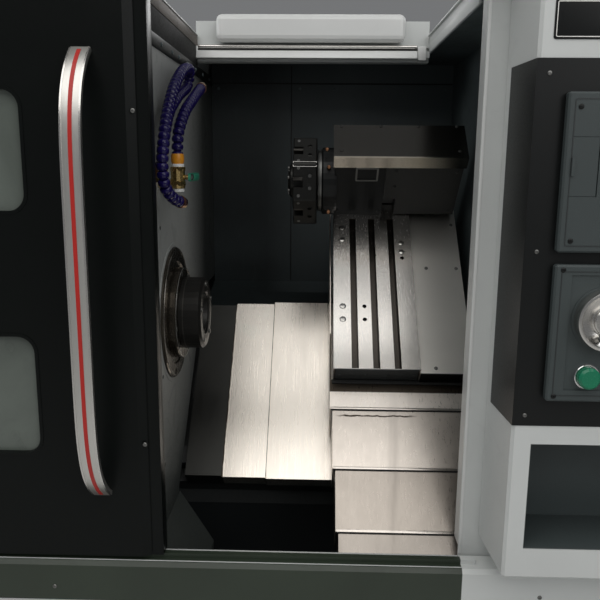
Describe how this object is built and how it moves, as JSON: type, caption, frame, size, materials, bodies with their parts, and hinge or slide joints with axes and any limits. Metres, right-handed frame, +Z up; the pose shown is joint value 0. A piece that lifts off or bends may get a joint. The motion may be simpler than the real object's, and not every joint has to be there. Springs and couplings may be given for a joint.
{
  "type": "cnc turning lathe",
  "caption": "Slant-bed CNC turning lathe with a sliding front door stood open, telescopic way covers, an indexing turret and a side control pod.",
  "frame": {"origin": "floor level under the middle of the machine's outer box", "axes": "+Z up, +X to the operator's right along the spindle, +Y away from the operator"},
  "size_m": [1.8, 1.424, 1.725],
  "materials": {
    "white_paint": "satin",
    "black_paint": "satin",
    "olive_paint": "satin",
    "cast_paint": "matte",
    "ground_steel": "ground",
    "cover_steel": "brushed",
    "dark_steel": "blackened",
    "aluminium": "brushed",
    "chrome": "polished",
    "brass": "plain",
    "hose_plastic": "gloss",
    "lever_plastic": "satin",
    "button_green": "gloss",
    "stop_red": "gloss",
    "unit_grey": "satin",
    "belt_rubber": "matte",
    "window_glass": "smoked"
  },
  "bodies": {
    "machine": {"base_frame": "white_paint", "levelling_foot_1": "dark_steel", "levelling_foot_2": "dark_steel", "levelling_foot_3": "dark_steel", "levelling_foot_4": "dark_steel", "sill_guide": "olive_paint", "bed_casting": "cast_paint", "headstock": "cast_paint", "spindle_flange": "dark_steel", "spindle_motor": "cast_paint", "drive_belt": "belt_rubber", "headstock_wall": "white_paint", "right_wall": "black_paint", "back_wall": "black_paint", "left_enclosure": "white_paint", "right_enclosure": "white_paint", "rear_enclosure": "white_paint", "front_frame": "white_paint", "rear_beam": "white_paint", "beam_cover": "white_paint", "control_pod": "white_paint", "control_inset": "black_paint", "display_unit": "unit_grey", "operator_panel": "unit_grey", "z_motor": "dark_steel", "z_cover_fixed": "cover_steel", "coolant_valve": "brass", "coolant_hose_a": "hose_plastic", "coolant_hose_b": "hose_plastic", "electrical_cabinet": "white_paint"},
    "door": {"door_panel": "black_paint", "door_window_upper": "window_glass", "door_window_lower": "window_glass", "door_handle": "aluminium"},
    "saddle_unit": {"saddle": "cast_paint", "z_cover_outer": "cover_steel", "z_cover_right": "cover_steel", "x_cover_base": "cover_steel", "x_motor": "dark_steel"},
    "bed_cover_middle": {"z_cover_inner": "cover_steel"},
    "cross_unit": {"cross_slide": "ground_steel", "slide_side_cover": "cover_steel", "turret_housing": "black_paint", "turret_hood": "cover_steel", "turret_motor_cover": "cover_steel", "x_cover_front": "cover_steel"},
    "cross_cover_upper": {"x_cover_upper": "cover_steel"},
    "cross_cover_lower": {"x_cover_lower": "cover_steel"},
    "turret": {"turret_disc": "dark_steel"},
    "spindle_unit": {"spindle": "dark_steel"},
    "drive_pulley": {"motor_pulley": "dark_steel"},
    "long_screw": {"z_screw": "ground_steel"},
    "cross_screw": {"x_screw": "ground_steel"},
    "flap": {"card_flap": "unit_grey"},
    "start": {"start_button": "button_green"},
    "stop": {"emergency_stop": "stop_red"},
    "wheel": {"handwheel": "chrome"},
    "lever": {"valve_lever": "lever_plastic"},
    "tank": {"coolant_tank": "olive_paint"},
    "rear_door": {"cabinet_door": "white_paint"}
  },
  "joints": [
    {"name": "door_slide", "type": "slide", "parent": "machine", "child": "door", "axis": [1, 0, 0], "range_m": [0, 0.49]},
    {"name": "saddle_slide", "type": "slide", "parent": "machine", "child": "saddle_unit", "axis": [-1, 0, 0], "range_m": [0, 0.16]},
    {"name": "bed_cover_slide", "type": "slide", "parent": "machine", "child": "bed_cover_middle", "axis": [-1, 0, 0], "range_m": [0, 0.08]},
    {"name": "cross_slide_travel", "type": "slide", "parent": "saddle_unit", "child": "cross_unit", "axis": [0, -0.7071, -0.7071], "range_m": [0, 0.165]},
    {"name": "upper_cover_slide", "type": "slide", "parent": "saddle_unit", "child": "cross_cover_upper", "axis": [0, -0.7071, -0.7071], "range_m": [0, 0.1221]},
    {"name": "lower_cover_slide", "type": "slide", "parent": "saddle_unit", "child": "cross_cover_lower", "axis": [0, -0.7071, -0.7071], "range_m": [0, 0.03135]},
    {"name": "turret_index", "type": "hinge", "parent": "cross_unit", "child": "turret", "pos_m": [0, -0.10324, 1.37886], "axis": [1, 0, 0], "continuous": true},
    {"name": "spindle_turn", "type": "hinge", "parent": "machine", "child": "spindle_unit", "pos_m": [-0.3, -0.33503, 1.14707], "axis": [1, 0, 0], "continuous": true},
    {"name": "motor_turn", "type": "hinge", "parent": "machine", "child": "drive_pulley", "pos_m": [-0.67, 0.4, 0.8553], "axis": [1, 0, 0], "continuous": true},
    {"name": "long_screw_turn", "type": "hinge", "parent": "machine", "child": "long_screw", "pos_m": [-0.2, -0.17324, 0.94399], "axis": [1, 0, 0], "range_deg": [0, 5760]},
    {"name": "cross_screw_turn", "type": "hinge", "parent": "saddle_unit", "child": "cross_screw", "pos_m": [0.18, -0.42851, 0.83156], "axis": [0, 0.7071, 0.7071], "range_deg": [0, 5940]},
    {"name": "flap_hinge", "type": "hinge", "parent": "machine", "child": "flap", "pos_m": [0.376, -0.6783, 1.415], "axis": [0, 0, 1], "range_deg": [0, 90]},
    {"name": "start_press", "type": "slide", "parent": "machine", "child": "start", "axis": [0, 1, 0], "range_m": [0, 0.0045], "stiffness_N_per_m": 500, "springref_m": -0.002},
    {"name": "stop_press", "type": "slide", "parent": "machine", "child": "stop", "axis": [0, 1, 0], "range_m": [0, 0.0045], "stiffness_N_per_m": 800, "springref_m": -0.002},
    {"name": "handwheel_turn", "type": "hinge", "parent": "machine", "child": "wheel", "pos_m": [0.403, -0.6783, 1.2205], "axis": [0, -1, 0], "continuous": true},
    {"name": "lever_turn", "type": "hinge", "parent": "machine", "child": "lever", "pos_m": [-0.1825, -0.431, 1.392], "axis": [1, 0, 0], "range_deg": [0, 90]},
    {"name": "tank_slide", "type": "slide", "parent": "machine", "child": "tank", "axis": [0, -1, 0], "range_m": [0, 0.45]},
    {"name": "cabinet_hinge", "type": "hinge", "parent": "machine", "child": "rear_door", "pos_m": [0.85, 0.7, 1.19], "axis": [0, 0, -1], "range_deg": [0, 110]}
  ],
  "couplings": [
    {"joint": "bed_cover_slide", "follows": "saddle_slide", "ratio": 0.5},
    {"joint": "long_screw_turn", "follows": "saddle_slide", "rad_per_m": 628.32},
    {"joint": "upper_cover_slide", "follows": "cross_slide_travel", "ratio": 0.74},
    {"joint": "lower_cover_slide", "follows": "cross_slide_travel", "ratio": 0.19},
    {"joint": "cross_screw_turn", "follows": "cross_slide_travel", "rad_per_m": 628.32},
    {"joint": "motor_turn", "follows": "spindle_turn", "ratio": 1.3571}
  ]
}
